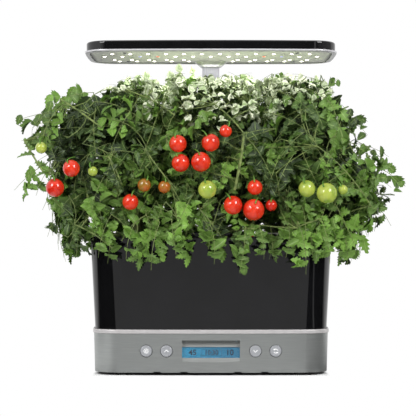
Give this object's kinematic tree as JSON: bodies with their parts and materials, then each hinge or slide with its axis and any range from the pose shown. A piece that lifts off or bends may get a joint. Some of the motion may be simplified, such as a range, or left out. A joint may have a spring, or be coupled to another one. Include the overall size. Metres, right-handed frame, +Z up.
{
  "type": "countertop hydroponic garden",
  "caption": "Countertop hydroponic garden: black water bowl on a silver base with display and buttons, raised lamp on a sliding mast, and bushy tomato plants in pods.",
  "frame": {"origin": "on the worktop, under the middle of the base", "axes": "+Z up, the display and buttons face -Y, +X to the right seen from the front"},
  "size_m": [0.4266, 0.2571, 0.3744],
  "materials": {
    "brushed_metal": "brushed",
    "bright_trim": "polished",
    "black_moulding": "fine matte",
    "rubber": "matte",
    "steel": "satin",
    "window": "clear",
    "display": "backlit",
    "circuit_board": "lacquered",
    "motor": "potted coil",
    "mast_metal": "satin",
    "gloss_black": "high gloss",
    "deck_black": "semi gloss",
    "lamp_silver": "satin silver",
    "reflector": "white enamel",
    "led_white": "lit",
    "led_red": "lit",
    "led_blue": "lit",
    "pump_plastic": "moulded",
    "shaft": "ground",
    "foam": "open cell foam",
    "basket": "moulded",
    "sponge": "pressed peat",
    "leaves": "leaf",
    "fruit_red": "waxy skin",
    "fruit_orange": "waxy skin",
    "fruit_green": "waxy skin",
    "button_silver": "satin silver",
    "float_red": "moulded"
  },
  "bodies": {
    "base": {"base_housing": "brushed_metal", "bottom_cover": "black_moulding", "rubber_feet": "rubber", "base_screws": "steel", "bowl_seat": "black_moulding", "trim_ring": "bright_trim", "lcd_window": "window", "lcd_panel": "display", "control_board": "circuit_board", "button_switches": "black_moulding", "power_jack": "black_moulding", "pump_motor": "motor", "mast_sleeve": "mast_metal", "mast_bush": "black_moulding"},
    "lamp": {"mast_post": "mast_metal", "mast_glide": "black_moulding", "lamp_socket": "mast_metal", "lamp_hood": "gloss_black", "lamp_rim": "lamp_silver", "led_board": "reflector", "leds_white": "led_white", "leds_red": "led_red", "leds_blue": "led_blue", "lamp_screws": "steel"},
    "bowl": {"grow_bowl": "gloss_black", "grow_deck": "deck_black", "pump_housing": "pump_plastic", "pump_shaft": "shaft", "pump_filter": "foam", "hinge_pin": "steel", "pod_basket_1": "basket", "pod_basket_2": "basket", "pod_basket_3": "basket", "pod_basket_4": "basket", "pod_basket_5": "basket", "pod_basket_6": "basket", "grow_sponge_1": "sponge", "grow_sponge_2": "sponge", "grow_sponge_3": "sponge", "grow_sponge_4": "sponge", "grow_sponge_5": "sponge", "grow_sponge_6": "sponge", "plant_1": "leaves", "plant_2": "leaves", "plant_3": "leaves", "plant_4": "leaves", "plant_5": "leaves", "plant_6": "leaves", "tomatoes_red": "fruit_red", "tomatoes_orange": "fruit_orange", "tomatoes_green": "fruit_green"},
    "fill_lid": {"fill_lid": "deck_black"},
    "water_float": {"water_float": "float_red"},
    "impeller": {"impeller": "pump_plastic"},
    "button_light": {"button_light": "button_silver"},
    "button_up": {"button_up": "button_silver"},
    "button_down": {"button_down": "button_silver"},
    "button_select": {"button_select": "button_silver"}
  },
  "joints": [
    {"name": "lamp_height", "type": "slide", "parent": "base", "child": "lamp", "axis": [0, 0, 1], "range_m": [0, 0.07]},
    {"name": "bowl_lift", "type": "slide", "parent": "base", "child": "bowl", "axis": [0, 0, 1], "range_m": [0, 0.006]},
    {"name": "fill_lid_hinge", "type": "hinge", "parent": "bowl", "child": "fill_lid", "pos_m": [0, -0.0568, 0.1579], "axis": [-1, 0, 0], "range_deg": [0, 100]},
    {"name": "float_rise", "type": "slide", "parent": "bowl", "child": "water_float", "axis": [0, 0, 1], "range_m": [0, 0.02]},
    {"name": "impeller_spin", "type": "hinge", "parent": "bowl", "child": "impeller", "pos_m": [-0.042, -0.004, 0.06], "axis": [0, 0, 1], "continuous": true},
    {"name": "button_light_press", "type": "slide", "parent": "base", "child": "button_light", "axis": [0, 1, 0], "range_m": [0, 0.0008], "stiffness_N_per_m": 2500},
    {"name": "button_up_press", "type": "slide", "parent": "base", "child": "button_up", "axis": [0, 1, 0], "range_m": [0, 0.0008], "stiffness_N_per_m": 2500},
    {"name": "button_down_press", "type": "slide", "parent": "base", "child": "button_down", "axis": [0, 1, 0], "range_m": [0, 0.0008], "stiffness_N_per_m": 2500},
    {"name": "button_select_press", "type": "slide", "parent": "base", "child": "button_select", "axis": [0, 1, 0], "range_m": [0, 0.0008], "stiffness_N_per_m": 2500}
  ]
}
